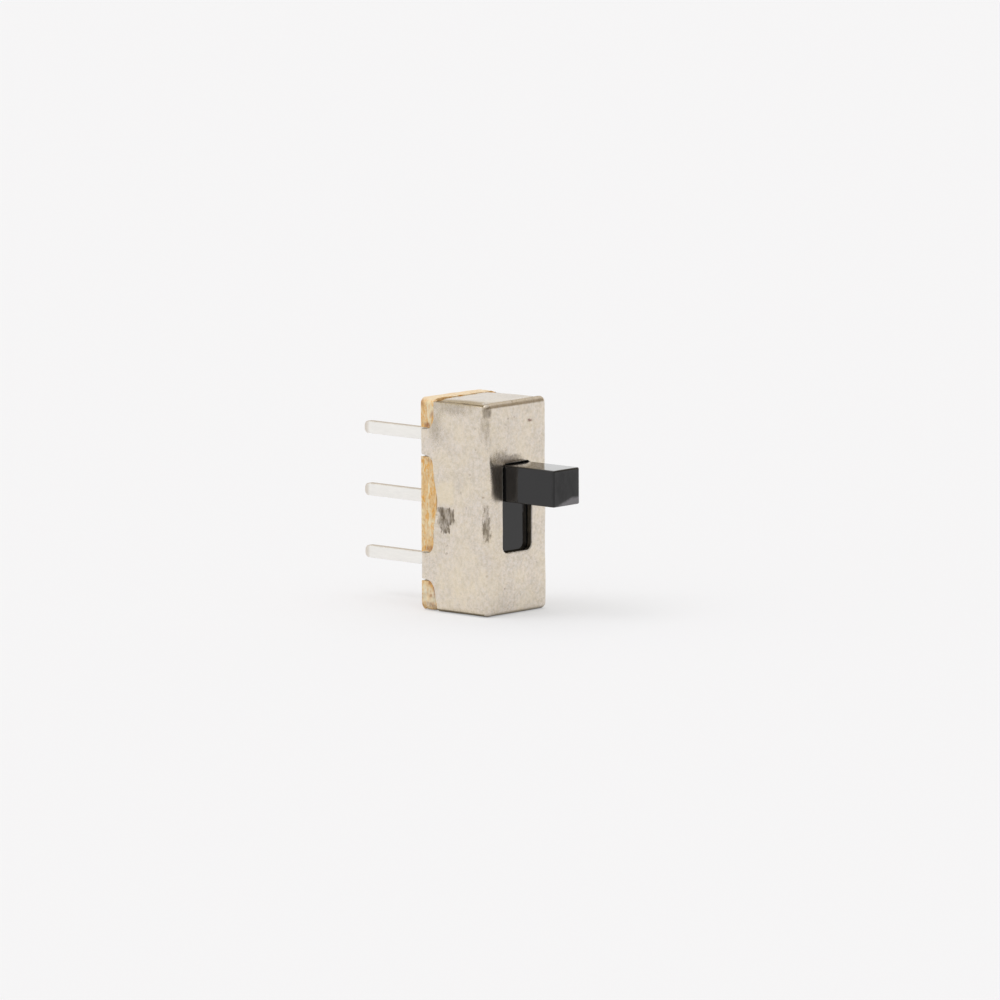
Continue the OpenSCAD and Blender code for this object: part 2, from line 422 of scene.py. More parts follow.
def mottle_group():
    """Uneven tone of a worked surface, from broad clouds and fine grain, and the grain itself."""
    name = "Mottle"
    if name in bpy.data.node_groups:
        return bpy.data.node_groups[name]
    inputs = [
        ("Place", VECTOR, (0, 0, 0)),
        ("Cloud scale", FLOAT, 1.0),
        ("Grain scale", FLOAT, 10.0),
        ("Cloud depth", FLOAT, 0.1),
        ("Grain depth", FLOAT, 0.1),
    ]
    group, given, result = group_nodes(name, inputs, ["Tone", "Grain"])
    clouds = group.noise(given["Place"], given["Cloud scale"], 4.0, 0.6)
    grain = group.noise(given["Place"], given["Grain scale"], 3.0, 0.65)
    tones = [
        group.math("MULTIPLY", group.math("SUBTRACT", source, 0.5), given[depth])
        for source, depth in ((clouds, "Cloud depth"), (grain, "Grain depth"))
    ]
    set_inputs(result, Tone=group.math("ADD", group.math("ADD", *tones), 1.0), Grain=grain)
    return group.tree


class Finish(Nodes):
    """A material with its Principled shader, and the steps that finish a surface."""

    def __init__(self, name):
        self.material = bpy.data.materials.new(name)
        self.material.use_nodes = True
        super().__init__(self.material.node_tree)
        self.tree.nodes.clear()
        self.shader = self.new("ShaderNodeBsdfPrincipled")
        self.new("ShaderNodeOutputMaterial", None, Surface=self.shader.outputs[0])
        self.place = self.place_in_mm()

    def shade(self, **inputs):
        """Links or sets the shader's inputs."""
        set_inputs(self.shader, **inputs)

    def bump(self, height, distance, strength):
        """Gives the shader a bump, with its distance in millimetres."""
        node = self.new(
            "ShaderNodeBump", None, Height=height, Distance=distance * MM, Strength=strength
        )
        self.shade(Normal=node.outputs["Normal"])

    def marks(self, marks):
        """The strongest of many marks at each point, each with its own depth at the end of its row."""
        total = None
        for centre, reach, softness, grain, break_up, depth in marks:
            node = self.new(
                "ShaderNodeGroup", {"node_tree": mark_group()}, Place=self.place, Centre=centre,
                Reach=reach, Softness=softness, Grain=grain, Break_up=break_up,
            )
            mask = self.math("MULTIPLY", node.outputs["Mask"], depth)
            total = mask if total is None else self.math("MAXIMUM", total, mask)
        return total

    def mottle(self, colour, cloud_scale, grain_scale, cloud_depth, grain_depth, place=None):
        """A colour with uneven tone, and the grain that it follows."""
        node = self.new(
            "ShaderNodeGroup", {"node_tree": mottle_group()}, Place=place or self.place,
            Cloud_scale=cloud_scale, Grain_scale=grain_scale,
            Cloud_depth=cloud_depth, Grain_depth=grain_depth,
        )
        return self.mix(1.0, colour, node.outputs["Tone"], "MULTIPLY"), node.outputs["Grain"]

    def marked(self, base, marks, colour):
        """A colour with marks of another on it."""
        return self.mix(self.marks(marks), base, colour)

    def grained(self, grain, low, high):
        """A value that follows the grain."""
        return self.remap(grain, 0.3, 0.7, low, high)


# ---- materials ----

# Dirt on the cover, and a darker band down the upper part of the left front bend: centre and reach in
# millimetres, softness, grain, break-up and depth
COVER_DIRT = (
    ((-1.8, 0.43, 3.85), (0.3, 0.5, 0.37), 0.22, 5.0, 0.58, 0.88),
    ((-1.8, 0.48, 3.47), (0.3, 0.28, 0.31), 0.3, 6.0, 0.65, 0.88),
    ((-1.8, 0.2, 3.86), (0.3, 0.1, 0.34), 0.5, 7.0, 0.4, 0.6),
    ((-1.8, 0.7, 4.1), (0.3, 0.22, 0.12), 0.3, 7.0, 0.2, 0.6),
    ((-1.8, 0.6, 4.1), (0.3, 0.3, 0.12), 0.3, 7.0, 0.6, 0.45),
    ((-1.72, -1.68, 3.5), (0.24, 0.24, 0.58), 0.5, 7.0, 0.6, 0.72),
    ((-1.72, -1.68, 4.15), (0.15, 0.18, 0.42), 0.6, 9.0, 0.7, 0.5),
    ((-1.68, -1.66, 8.12), (0.22, 0.22, 0.3), 0.6, 5.0, 0.35, 0.66),
    # Darker down the upper part of the left front bend.
    ((-1.75, -1.6, 7.6), (0.26, 0.34, 0.9), 0.9, 5.0, 0.5, 0.34),
    ((-1.8, 0.1, 8.15), (0.2, 1.5, 0.34), 0.9, 4.0, 0.3, 0.36),
    ((-1.68, -1.64, 8.4), (0.2, 0.2, 0.16), 0.6, 6.0, 0.3, 0.5),
    ((-1.75, -1.7, 7.3), (0.1, 0.12, 0.9), 0.8, 6.0, 0.9, 0.25),
    ((-1.8, 0.62, 8.12), (0.12, 0.12, 0.1), 0.6, 6.0, 0.3, 0.32),
    ((-1.8, 0.1, 7.97), (0.12, 0.12, 0.1), 0.7, 6.0, 0.3, 0.14),
    ((-1.8, 0.95, 7.4), (0.2, 0.5, 1.0), 0.9, 4.0, 0.3, 0.32),
    ((-0.76, -1.75, 1.06), (0.07, 0.12, 0.05), 0.6, 6.0, 0.0, 0.34),
    ((-1.2, -1.75, 4.2), (0.34, 0.15, 4.6), 0.9, 2.0, 0.3, 0.05),
)
# Grime that the handle has rubbed onto the front beside and above it, with painted shade and a painted
# dark reflection of the handle there
HANDLE_GRIME_AND_SHADE = (
    ((-1.15, -1.75, 5.3), (0.42, 0.2, 0.9), 0.35, 5.0, 0.35, 0.55),
    ((-0.35, -1.75, 6.2), (0.8, 0.2, 0.22), 0.6, 7.0, 0.55, 0.6),
    ((-0.95, -1.75, 6.35), (0.5, 0.2, 0.4), 0.8, 6.0, 0.6, 0.4),
)
# Painted shade on the slot's cut edge, on its right side, where the slot lies dark inside
SLOT_SHADE = (((0.85, -1.65, 4.25), (0.8, 0.3, 2.1), 0.2, 6.0, 0.4, 0.8),)
# Rust spots, and old ones rubbed faint
COVER_RUST = (
    ((0.75, -1.75, 7.62), (0.16, 0.12, 0.085), 0.8, 9.0, 0.55, 1.0),
    ((-0.52, -1.75, 7.8), (0.06, 0.12, 0.04), 0.6, 12.0, 0.0, 0.3),
    ((-0.16, -1.75, 7.84), (0.06, 0.12, 0.04), 0.6, 12.0, 0.0, 0.3),
    ((-1.8, -1.52, 4.78), (0.12, 0.07, 0.05), 0.6, 12.0, 0.0, 0.3),
)
# Where the plate has yellowed
COVER_STAIN = (
    ((-1.8, 0.45, 4.78), (0.2, 0.62, 0.62), 0.5, 2.0, 0.2, 0.55),
    ((-1.8, -0.3, 7.3), (0.2, 0.8, 0.7), 0.9, 2.0, 0.6, 0.3),
    ((-1.8, -0.4, 1.1), (0.2, 1.6, 1.2), 0.9, 2.0, 0.5, 0.35),
)
# Plating worn thin along the rolled sides of the flaps, and along the lower edges a khaki band that is
# partly worn plating and partly painted shade where the switch stands on the floor
COVER_WEAR_AND_SHADE = (
    *(((x, -0.10, z), (0.34, 1.40, 0.30), 0.50, 6.0, 0.30, 0.75) for z in (8.5, 0) for x in (-1.58, 1.58)),
    ((-1.8, -0.3, 0.12), (0.2, 1.6, 0.09), 0.7, 6.0, 0.3, 0.45),
    ((0.0, -1.7, 0.04), (1.8, 0.3, 0.14), 0.7, 6.0, 0.3, 0.5),
)
# The colour of worn plating, which also paints the shade along the lower edges.
WORN_AND_SHADE = (0.520, 0.430, 0.280)
DIRT = (0.085, 0.058, 0.028)
# This colour paints grime, and also the painted shade and dark reflection beside and above the handle.
GRIME_AND_SHADE = (0.140, 0.107, 0.085)
RUST = (0.160, 0.060, 0.040)
STAIN = (0.840, 0.730, 0.530)


def steel_material(finishes):
    """Dull nickel plate: warm grey, finely speckled, with dirt, rust spots and blurred gloss, and painted
    shade beside and above the handle and along the lower edges.
    """
    mat = Finish("plated_steel")
    specks = mat.remap(mat.noise(mat.place, 7.0, 3.0, 0.65), 0.24, 0.66)
    base = mat.mix(specks, finishes.steel_speck, finishes.steel)
    base, grain = mat.mottle(base, 1.8, 14.0, 0.22, 0.22)
    tint = mat.remap(mat.noise(mat.place, 10.0, 3.0, 0.7), 0.3, 0.7)
    tint = mat.mix(tint, (0.978, 1.0, 1.026), (1.022, 1.0, 0.974))
    base = mat.mix(1.0, base, tint, "MULTIPLY")
    dots = mat.remap(mat.noise(mat.place, 4.0, 1.0), 0.71, 0.78, 0.0, 0.30)
    base = mat.mix(dots, base, (0.22, 0.15, 0.10))
    tarnish = mat.remap(mat.noise(mat.place, 1.1, 2.0, 0.5), 0.34, 0.74, 0.0, 0.32)
    base = mat.mix(tarnish, base, STAIN)
    base = mat.marked(base, COVER_STAIN, STAIN)
    # Partly painted shade: the lower edges darkened where the switch meets the floor.
    base = mat.marked(base, COVER_WEAR_AND_SHADE, WORN_AND_SHADE)
    dirt = mat.marks(COVER_DIRT)
    base = mat.mix(dirt, base, DIRT)
    # Painted shade: grime beside and above the handle, darkened where its shade and its dark reflection
    # fall.
    grime_and_shade = mat.marks(HANDLE_GRIME_AND_SHADE)
    base = mat.mix(grime_and_shade, base, GRIME_AND_SHADE)
    base = mat.marked(base, COVER_RUST, RUST)
    # The roughness rises with the dirt, the grime and the painted shade beside the handle.
    soiled = mat.math("MULTIPLY", mat.math("MAXIMUM", dirt, grime_and_shade), 0.22)
    rough = mat.math("ADD", mat.grained(grain, 0.19, 0.27), soiled)
    mat.shade(Base_Color=base, Metallic=1.0, Roughness=rough)
    mat.bump(specks, 0.0008, 0.6)
    return mat.material


def sheared_material(finishes):
    """Cut edges of the plated sheet: bare steel, drawn and dull, with grime in its grain and painted shade
    on the slot's right cut edge.
    """
    mat = Finish("sheared_steel")
    base, grain = mat.mottle(finishes.sheared, 2.0, 12.0, 0.35, 0.60)
    # Random grime in the grain of the cut edges.
    grime_and_shade = mat.remap(mat.noise(mat.place, 2.2, 3.0, 0.6), 0.45, 0.70, 0.0, 0.6)
    base = mat.mix(grime_and_shade, base, GRIME_AND_SHADE)
    # Painted shade: the slot's right cut edge darkened, as it lies in shade inside the slot.
    base = mat.marked(base, SLOT_SHADE, (0.100, 0.088, 0.080))
    rough = mat.grained(grain, 0.32, 0.50)
    mat.shade(Base_Color=base, Metallic=1.0, Roughness=rough)
    mat.bump(grain, 0.006, 0.6)
    return mat.material


def rim_highlight_material():
    """The slot's rounded outer rim, raised by the punch, rubbed pale and dull: a painted highlight of the
    rim catching the light.
    """
    mat = Finish("rim_highlight")
    base, grain = mat.mottle((0.80, 0.76, 0.70), 3.0, 14.0, 0.5, 0.8)
    mat.shade(Base_Color=base, Roughness=mat.grained(grain, 0.45, 0.65))
    return mat.material


# Brown marks on the board's punched edge where the notches were cut, at its top corner and around the
# chip: partly brown stains, partly painted shade where the notches shade the edge
BOARD_BROWN_AND_SHADE = (
    ((-1.8, 1.35, 7.4), (0.25, 0.28, 0.16), 0.8, 7.0, 0.6, 0.85),
    ((-1.8, 1.75, 8.3), (0.2, 0.22, 0.3), 0.8, 6.0, 0.5, 0.75),
    ((-1.8, 1.15, 7.85), (0.2, 0.16, 0.22), 0.9, 6.0, 0.6, 0.65),
    ((-1.8, 1.25, 6.02), (0.25, 0.45, 0.14), 0.9, 6.0, 0.7, 0.65),
    ((-1.8, 1.3, 2.5), (0.25, 0.3, 0.18), 0.8, 7.0, 0.5, 0.9),
    ((-1.8, 1.24, 1.12), (0.25, 0.25, 0.12), 0.8, 7.0, 0.5, 0.8),
    ((-1.8, 1.08, 0.86), (0.25, 0.12, 0.36), 0.8, 6.0, 0.4, 0.85),
    ((-1.75, 1.28, 0.62), (0.3, 0.18, 0.1), 0.9, 6.0, 0.4, 0.6),
    ((-1.7, 1.35, 0.25), (0.4, 0.45, 0.16), 0.8, 6.0, 0.75, 0.6),
)
# Paler places on that edge, where fibres stand out
BOARD_PALE = (
    ((-1.7, 1.35, 0.55), (0.4, 0.45, 0.52), 0.5, 4.5, 0.7, 1.0),
    ((-1.8, 1.3, 7.95), (0.3, 0.3, 0.36), 0.7, 6.0, 0.7, 0.6),
    ((-1.8, 1.3, 3.3), (0.3, 0.3, 0.6), 0.8, 5.0, 0.8, 0.45),
)
PALE_FIBRE = (1.000, 0.855, 0.570)
BARE_FIBRE = (1.000, 0.920, 0.720)
# Colour of the punched edge's upward faces, painted paler as if lit from above.
TOP_LIT_COLOUR = (0.840, 0.720, 0.550)
RESIN = (0.900, 0.463, 0.090)
# This dark brown colours random dark fibres, and the painted shade at the notch ends.
SCORCH_AND_SHADE = (0.400, 0.150, 0.050)


def laminate_material(finishes):
    """Paper laminate: smooth brown faces, pale crumbled punched edges with orange resin spots, upward
    faces painted paler as painted light, and brown marks with painted shade at the notch ends.
    """
    mat = Finish("paper_laminate")
    stretched = mat.vector("MULTIPLY", mat.place, (1.0, 2.6, 1.0))
    clouds = mat.noise(stretched, 1.3, 4.0, 0.6, 0.6)
    blots = mat.noise(stretched, 2.6, 4.0, 0.75, 0.8)
    fibres = mat.noise(stretched, 7.0, 4.0, 0.7, 0.4)
    edge = mat.mix(mat.remap(clouds, 0.40, 0.62), finishes.laminate, PALE_FIBRE)
    edge = mat.mix(mat.remap(blots, 0.49, 0.60, 0.0, 0.95), edge, RESIN)
    edge = mat.mix(mat.remap(fibres, 0.54, 0.70, 0.0, 0.65), edge, PALE_FIBRE)
    edge = mat.mix(mat.remap(fibres, 0.46, 0.30, 0.0, 0.45), edge, SCORCH_AND_SHADE)
    edge = mat.marked(edge, BOARD_PALE, BARE_FIBRE)
    # Partly painted shade: brown darkening at the notch ends and the top corner.
    edge = mat.marked(edge, BOARD_BROWN_AND_SHADE, SCORCH_AND_SHADE)
    face, fine = mat.mottle(finishes.laminate_face, 1.2, 12.0, 0.25, 0.20)
    normal = mat.parts(mat.new("ShaderNodeNewGeometry").outputs["Normal"])
    # Painted light: faces that look up are painted paler, as lit from above.
    edge = mat.mix(mat.remap(normal["Z"], 0.4, 0.9, 0.0, 0.7), edge, TOP_LIT_COLOUR)
    inside = mat.remap(mat.parts(mat.place)["Y"], BOARD_LOW.y, BOARD_LOW.y - 0.01)
    facing = mat.math("MAXIMUM", normal["Y"], inside)
    on_face = mat.remap(facing, 0.75, 0.95)
    mat.shade(Base_Color=mat.mix(on_face, edge, face), Roughness=mat.remap(facing, 0.75, 0.95, 0.75, 0.35))
    height = mat.mix(on_face, fibres, mat.math("MULTIPLY", fine, 0.1))
    mat.bump(height, 0.03, 0.8)
    return mat.material


# The painted reflection of the floor across the lower right corner of the handle's end: its upper
# edge's height in the middle of the handle's end and where across the end it stops rising, in
# millimetres, then its slope, and how pale the corner is
REFLECTION_TOP = 4.79
REFLECTION_RISE_END = 0.30
REFLECTION_SLOPE = 0.31
REFLECTION_DEPTH = 0.42
# Scuffs on the slider: a faint dull spot on the handle's end, and a scratched line inside the slot painted
# pale as a glint
SLIDER_SCUFFS_AND_GLINT = (
    ((0.1, -4.35, 5.5), (0.7, 0.1, 0.4), 0.8, 2.5, 0.9, 0.01),
    ((0.62, -1.48, 4.2), (0.03, 0.1, 0.3), 0.5, 9.0, 0.5, 0.2),
)
# Where the clear gloss is dull on the handle's end, which darkens that face as painted shade
DULL_END_SHADE = (((-0.05, -4.35, 5.35), (0.95, 0.2, 0.85), 0.5, 1.6, 0.5, 0.4),)


def floor_reflection_corner(mat):
    """The handle's end, painted pale across its lower right corner as a painted reflection of the floor.
    """
    place = mat.parts(mat.place)
    slope = mat.math("MULTIPLY", mat.math("MINIMUM", place["X"], REFLECTION_RISE_END), REFLECTION_SLOPE)
    height = mat.math("SUBTRACT", place["Z"], slope)
    ragged = mat.math("MULTIPLY", mat.noise(mat.place, 4.0, 3.0), 0.08)
    below = mat.remap(mat.math("ADD", height, ragged), REFLECTION_TOP + 0.05, REFLECTION_TOP - 0.10)
    at_end = mat.remap(place["Y"], SLIDER_LOW.y + 0.06, SLIDER_LOW.y + 0.01)
    return mat.math("MULTIPLY", mat.math("MULTIPLY", below, at_end), REFLECTION_DEPTH)


def plastic_material(finishes):
    """Black moulded plastic with a clear gloss, scuffed at the handle's end, with a painted reflection
    across that end's lower right corner, a scratch in the slot painted pale as a glint, and the gloss
    dulled on that end as painted shade.
    """
    mat = Finish("black_plastic")
    base, grain = mat.mottle(finishes.plastic, 1.5, 14.0, 0.4, 0.4)
    # Partly painted highlight: the line in the slot is painted pale as a glinting scratch.
    scuffs_and_glint = mat.marks(SLIDER_SCUFFS_AND_GLINT)
    scratched = mat.vector("MULTIPLY", mat.place, (14.0, 1.2, 1.2))
    scratches = mat.remap(mat.noise(scratched, 1.0, 2.0, 0.5), 0.72, 0.76, 0.0, 0.06)
    # Scuffs and scratches, with the painted glint in the slot and the painted reflection on the handle's
    # end.
    worn = mat.math("MAXIMUM", mat.math("MAXIMUM", scuffs_and_glint, scratches), floor_reflection_corner(mat))
    base = mat.mix(worn, base, (0.55, 0.54, 0.60))
    rough = mat.math("ADD", mat.grained(grain, 0.05, 0.08), mat.math("MULTIPLY", worn, 2.0))
    mat.shade(Base_Color=base, Roughness=rough, IOR=1.2)
    # Painted shade: less gloss on the handle's end darkens that face.
    gloss = mat.math("SUBTRACT", 1.0, mat.marks(DULL_END_SHADE))
    mat.shade(Coat_Weight=gloss, Coat_IOR=1.4, Coat_Roughness=0.05)
    mat.bump(grain, 0.0004, 0.4)
    return mat.material


def tin_material(finishes):
    """Bright tin plate with a faint rolled grain along the pins, worn a little at their tips."""
    mat = Finish("tinned_brass")
    along = mat.vector("MULTIPLY", mat.place, (6.0, 1.2, 6.0))
    base, grain = mat.mottle(finishes.tin, 0.8, 2.5, 0.10, 0.14, along)
    bared = mat.remap(mat.parts(mat.place)["Y"], PIN_TIP - 0.32, PIN_TIP - 0.10, 0.0, 0.5)
    base = mat.mix(bared, base, finishes.brass)
    rough = mat.grained(grain, 0.28, 0.40)
    mat.shade(Base_Color=base, Metallic=1.0, Roughness=rough)
    mat.bump(grain, 0.003, 0.5)
    return mat.material


def strip_material(name, colour):
    """Bare metal of a rolled strip, with fine grain."""
    mat = Finish(name)
    base, grain = mat.mottle(colour, 1.0, 12.0, 0.20, 0.25)
    rough = mat.grained(grain, 0.22, 0.34)
    mat.shade(Base_Color=base, Metallic=1.0, Roughness=rough)
    return mat.material


# ---- cover ----


class Shell:
    """Collects the corners and faces of the cover's outer surface, and welds equal corners."""

    def __init__(self):
        self.bm = bmesh.new()
        self.corners = {}

    def corner(self, point):
        """The vertex at a point, made once."""
        key = tuple(round(c, 5) for c in point)
        if key not in self.corners:
            self.corners[key] = self.bm.verts.new(point)
        return self.corners[key]

    def face(self, points):
        """One face, with corners that fall together left out."""
        verts = list(dict.fromkeys(self.corner(p) for p in points))
        if len(verts) > 2:
            self.bm.faces.new(verts)

    def grid(self, rows):
        """Faces between rows of equally many points."""
        for low, high in zip(rows, rows[1:]):
            for i in range(len(low) - 1):
                self.face((low[i], low[i + 1], high[i + 1], high[i]))


def tab_stations(s):
    """Places along a wall where its mesh is cut, so that the tabs' edges and fillets fall on them."""
    fold_z = HALF_LENGTH - s["fold"]
    centre, half, spread_z = s["tab_pitch"] / 2, s["tab_width"] / 2, s["tab_spread"]
    inner_foot, outer_foot = centre - half - spread_z, centre + half + spread_z
    rise = [math.sin(math.radians(a)) for a in spread(0, 90, 8)]
    upper = spread(0, inner_foot, 12)[:-1]
    upper += [inner_foot + spread_z * part for part in rise][:-1]
    upper += spread(centre - half, centre + half, 8)[:-1]
    upper += [outer_foot - spread_z * part for part in reversed(rise)][:-1]
    upper += spread(outer_foot, fold_z, 5)
    return [-z for z in reversed(upper[1:])] + upper


# A side wall's edge, in millimetres from its middle: where it bows and how far that reaches, and
# where it starts to fall away at the lower end and how far that takes
BOW_MIDDLE, BOW_REACH = 0.15, 0.75
FALL_START, FALL_REACH = -3.2, 0.8
LESS_LAP = 0.3  # the part of its lap that the edge loses beyond the tabs


def edge_place(s, z):
    """Where a side wall ends along Y, at a height from its middle."""
    bow = s["edge_bow"] * math.exp(-(((z - BOW_MIDDLE) / BOW_REACH) ** 2))
    fall = s["edge_fall"] * max(0.0, (FALL_START - z) / FALL_REACH) ** 1.5
    edge = BOARD_LOW.y + s["edge_lap"] - bow - fall
    past_tab = abs(abs(z) - s["tab_pitch"] / 2) - s["tab_width"] / 2
    if abs(z) > s["tab_pitch"] / 2:
        edge -= LESS_LAP * s["edge_lap"] * min(1.0, max(0.0, past_tab) / s["tab_spread"])
    into = min(1.0, max(0.0, 1 - past_tab / s["tab_spread"]))
    return edge + (tab_foot(s) - edge) * (1 - math.sqrt(1 - into * into))


def tab_foot(s):
    """Where the tabs leave their fillets, along Y."""
    return BOARD_LOW.y + s["edge_lap"] + s["tab_root"]


def between(a, b, part):
    """A point part of the way from one point of an outline to another."""
    return a[0] + (b[0] - a[0]) * part, a[1] + (b[1] - a[1]) * part


def slot_loop(s, long_steps, short_steps):
    """The slot's outline from its lower left corner, in step with the folds around the front."""
    half_w = s["slot_width"] / 2 - s["slot_corner"]
    half_l = s["slot_length"] / 2 - s["slot_corner"]
    bend = 5
    points = []
    sides = (
        (half_w, -half_l, half_w, half_l, -45, long_steps),
        (half_w, half_l, -half_w, half_l, 45, short_steps),
        (-half_w, half_l, -half_w, -half_l, 135, long_steps),
        (-half_w, -half_l, half_w, -half_l, 225, short_steps),
    )
    for x0, z0, x1, z1, start, steps in sides:
        first = arc(x0, z0, s["slot_corner"], start, start + 45, bend)
        last = arc(x1, z1, s["slot_corner"], start + 45, start + 90, bend)
        run = steps - 2 * bend
        middle = [between(first[-1], last[0], i / run) for i in range(1, run)]
        points += first + middle + last[:-1]
    return points


def corner_turns(s):
    """Angles around a drawn corner from wall to flap, and how many of them the wall takes."""
    wall_top = math.degrees(math.asin(1 - s["wall_step"] / s["fold"]))
    lower = spread(0, wall_top, 3)
    angles = lower + spread(wall_top, 90, 6)[1:]
    return [math.radians(a) for a in angles], len(lower)


def cover_shell(s):
    """The cover's outer surface: front, folds, drawn corners, walls with tabs, and end flaps."""
    shell = Shell()
    half_w = (COVER_HIGH.x - COVER_LOW.x) / 2
    front = COVER_LOW.y
    fold = s["fold"]
    fold_x, fold_z = half_w - fold, HALF_LENGTH - fold
    z_cuts = tab_stations(s)
    x_cuts = spread(-fold_x, fold_x, 20)
    turn = [math.radians(a) for a in spread(0, 90, 8)]
    corner, _ = corner_turns(s)

    outer = [(fold_x, z) for z in z_cuts[:-1]] + [(x, fold_z) for x in reversed(x_cuts[1:])]
    outer += [(-fold_x, z) for z in reversed(z_cuts[1:])] + [(x, -fold_z) for x in x_cuts[:-1]]
    inner = slot_loop(s, len(z_cuts) - 1, len(x_cuts) - 1)
    rings = []
    for part in (0, 0.08, *spread(0.18, 1, 8)):
        ring = [between(a, b, part) for a, b in zip(inner, outer)]
        rings.append([(x, front, MIDDLE_Z + z) for x, z in ring + ring[:1]])
    shell.grid(rings)

    def folded(x, z, t, out_x, out_z):
        """A point of a fold, at an angle from the front and at a place along the fold."""
        out = fold * math.sin(t)
        return x + out_x * out, front + fold - fold * math.cos(t), MIDDLE_Z + z + out_z * out

    for side in (-1, 1):
        shell.grid([[folded(side * fold_x, z, t, side, 0) for z in z_cuts] for t in turn])
        shell.grid([[folded(x, side * fold_z, t, 0, side) for x in x_cuts] for t in turn])
        for end in (-1, 1):
            shell.grid([
                [folded(side * fold_x, end * fold_z, t, side * math.cos(p), end * math.sin(p))
                 for p in corner]
                for t in turn
            ])

    for end in (-1, 1):
        flap(shell, s, front + fold, end, x_cuts, half_w - s["sheet"])
    for side in (-1, 1):
        wall(shell, s, side * half_w, front + fold, z_cuts)
        for end in (-1, 1):
            tab(shell, s, side, half_w, end, z_cuts)
    return shell.bm


def flap(shell, s, start, side, x_cuts, reach):
    """One end flap: past the fold it widens to meet the walls' inner faces. The upper one sinks."""
    end = BOARD_LOW.y + s["flap_lap"]
    z = MIDDLE_Z + side * HALF_LENGTH
    sinks = side > 0
    rolled = [s["roll_width"] * part for part in (0, 0.12, 0.28, 0.48, 0.72)]
    plain = reach - s["roll_width"]
    steps = len(x_cuts) - 2 * len(rolled) - 1
    wide = [-reach + part for part in rolled] + spread(-plain, plain, steps)
    wide += [reach - part for part in reversed(rolled)]
    rows = [[(x, start, z) for x in x_cuts]]
    for y in spread(start + s["ease"], end, 8):
        droop = s["droop"] * ((y - start) / (end - start)) ** 2
        roll = [s["roll"] * max(0.0, 1 - (reach - abs(x)) / s["roll_width"]) ** 2 for x in wide]
        rows.append([(x, y, z - sinks * (droop + part)) for x, part in zip(wide, roll)])
    shell.grid(rows)


def wall(shell, s, x, start, z_cuts):
    """One side wall. Its ends leave the drawn corners and stop a step short of the flaps."""
    eased = start + s["ease"]

    def sheet(first):
        """Faces from a row of places in X and Z to the wall's edge, flat after the first step."""
        rows = [[(curved, start, MIDDLE_Z + z) for curved, z in first]]
        for part in spread(0, 1, 4):
            row = [(x, eased + (edge_place(s, z) - eased) * part, MIDDLE_Z + z) for _, z in first]
            rows.append(row)
        shell.grid(rows)

    sheet([(x, z) for z in z_cuts])
    turns, count = corner_turns(s)
    side, fold = math.copysign(1, x), s["fold"]
    for end in (-1, 1):
        sheet([(x - side * fold * (1 - math.cos(p)), end * (z_cuts[-1] + fold * math.sin(p)))
               for p in turns[:count]])


def tab(shell, s, side, half_w, end, z_cuts):
    """One tab: it tapers to its bend over the board, and ends flat."""
    back = BOARD_HIGH.y
    centre, half = end * s["tab_pitch"] / 2, s["tab_width"] / 2
    across = [z - centre for z in z_cuts if abs(z - centre) < half + 1e-4]
    bend_out = s["tab_bend"] + s["sheet"]
    bend_start = back - s["tab_bend"]
    bend_x = half_w - bend_out
    profile = [(half_w, y) for y in spread(tab_foot(s), bend_start, 3)]
    profile += arc(bend_x, bend_start, bend_out, 0, 90, 10)[1:]
    profile += [(bend_x - part * s["tab_flat"], back + s["sheet"]) for part in (0.5, 1)]
    rows = []
    for px, py in profile:
        taper = s["tab_taper"] * min(1.0, (py - tab_foot(s)) / (bend_start - tab_foot(s)))
        rows.append([(side * px, py, MIDDLE_Z + centre + z * (1 - taper / half)) for z in across])
    shell.grid(rows)


# Bruises in the cover, pressed in along its surface: centre, reach and depth in millimetres
COVER_DENTS = (
    ((-1.8, 0.3, 3.7), (0.3, 0.8, 0.6), 0.015),
    ((1.8, -0.4, 2.6), (0.3, 0.7, 0.5), 0.02),
)
# The sunk part of the front, in millimetres: its distance from the middle, how much that grows per
# millimetre upwards, the width of the bend into it, the width of the slope, and half its length
SLACK_START = 1.28
SLACK_LEAN = 0.07
SLACK_BEND = 0.14
SLACK_WIDTH = 0.31
SLACK_HALF_LENGTH = 1.95


def slack_beside_slot(vert, slack):
    """How far the front sinks left of the slot, where the sheet gave way to the fold."""
    up = vert.co.z - MIDDLE_Z
    past = max(0.0, -vert.co.x - SLACK_START - SLACK_LEAN * max(0.0, up))
    sunk = past**2 / (2 * SLACK_BEND) if past < SLACK_BEND else past - SLACK_BEND / 2
    along = 1 - (up / SLACK_HALF_LENGTH) ** (6 if up > 0 else 2)
    return slack / SLACK_WIDTH * sunk * max(0.0, along) * max(0.0, -vert.normal.y)


def wave_sheet(bm, depth, slack):
    """Presses slow shallow waves and the bruises into the sheet, from outside."""
    bm.normal_update()
    moves = []
    for vert in bm.verts:
        slow = noise.fractal(vert.co * 0.55 + Vector((3, 1, 7)), 1.0, 2.0, 3)
        press = depth * max(0.0, min(1.0, 0.5 + slow))
        for centre, reach, dent in COVER_DENTS:
            away = sum(((a - b) / c) ** 2 for a, b, c in zip(vert.co, centre, reach))
            press += dent * math.exp(-away)
        moves.append(vert.normal * -press + Vector((0, slack_beside_slot(vert, slack), 0)))
    for vert, move in zip(bm.verts, moves):
        vert.co += move


# ---- board ----

STEP = 0.05  # distance between points of the board's edge, in millimetres


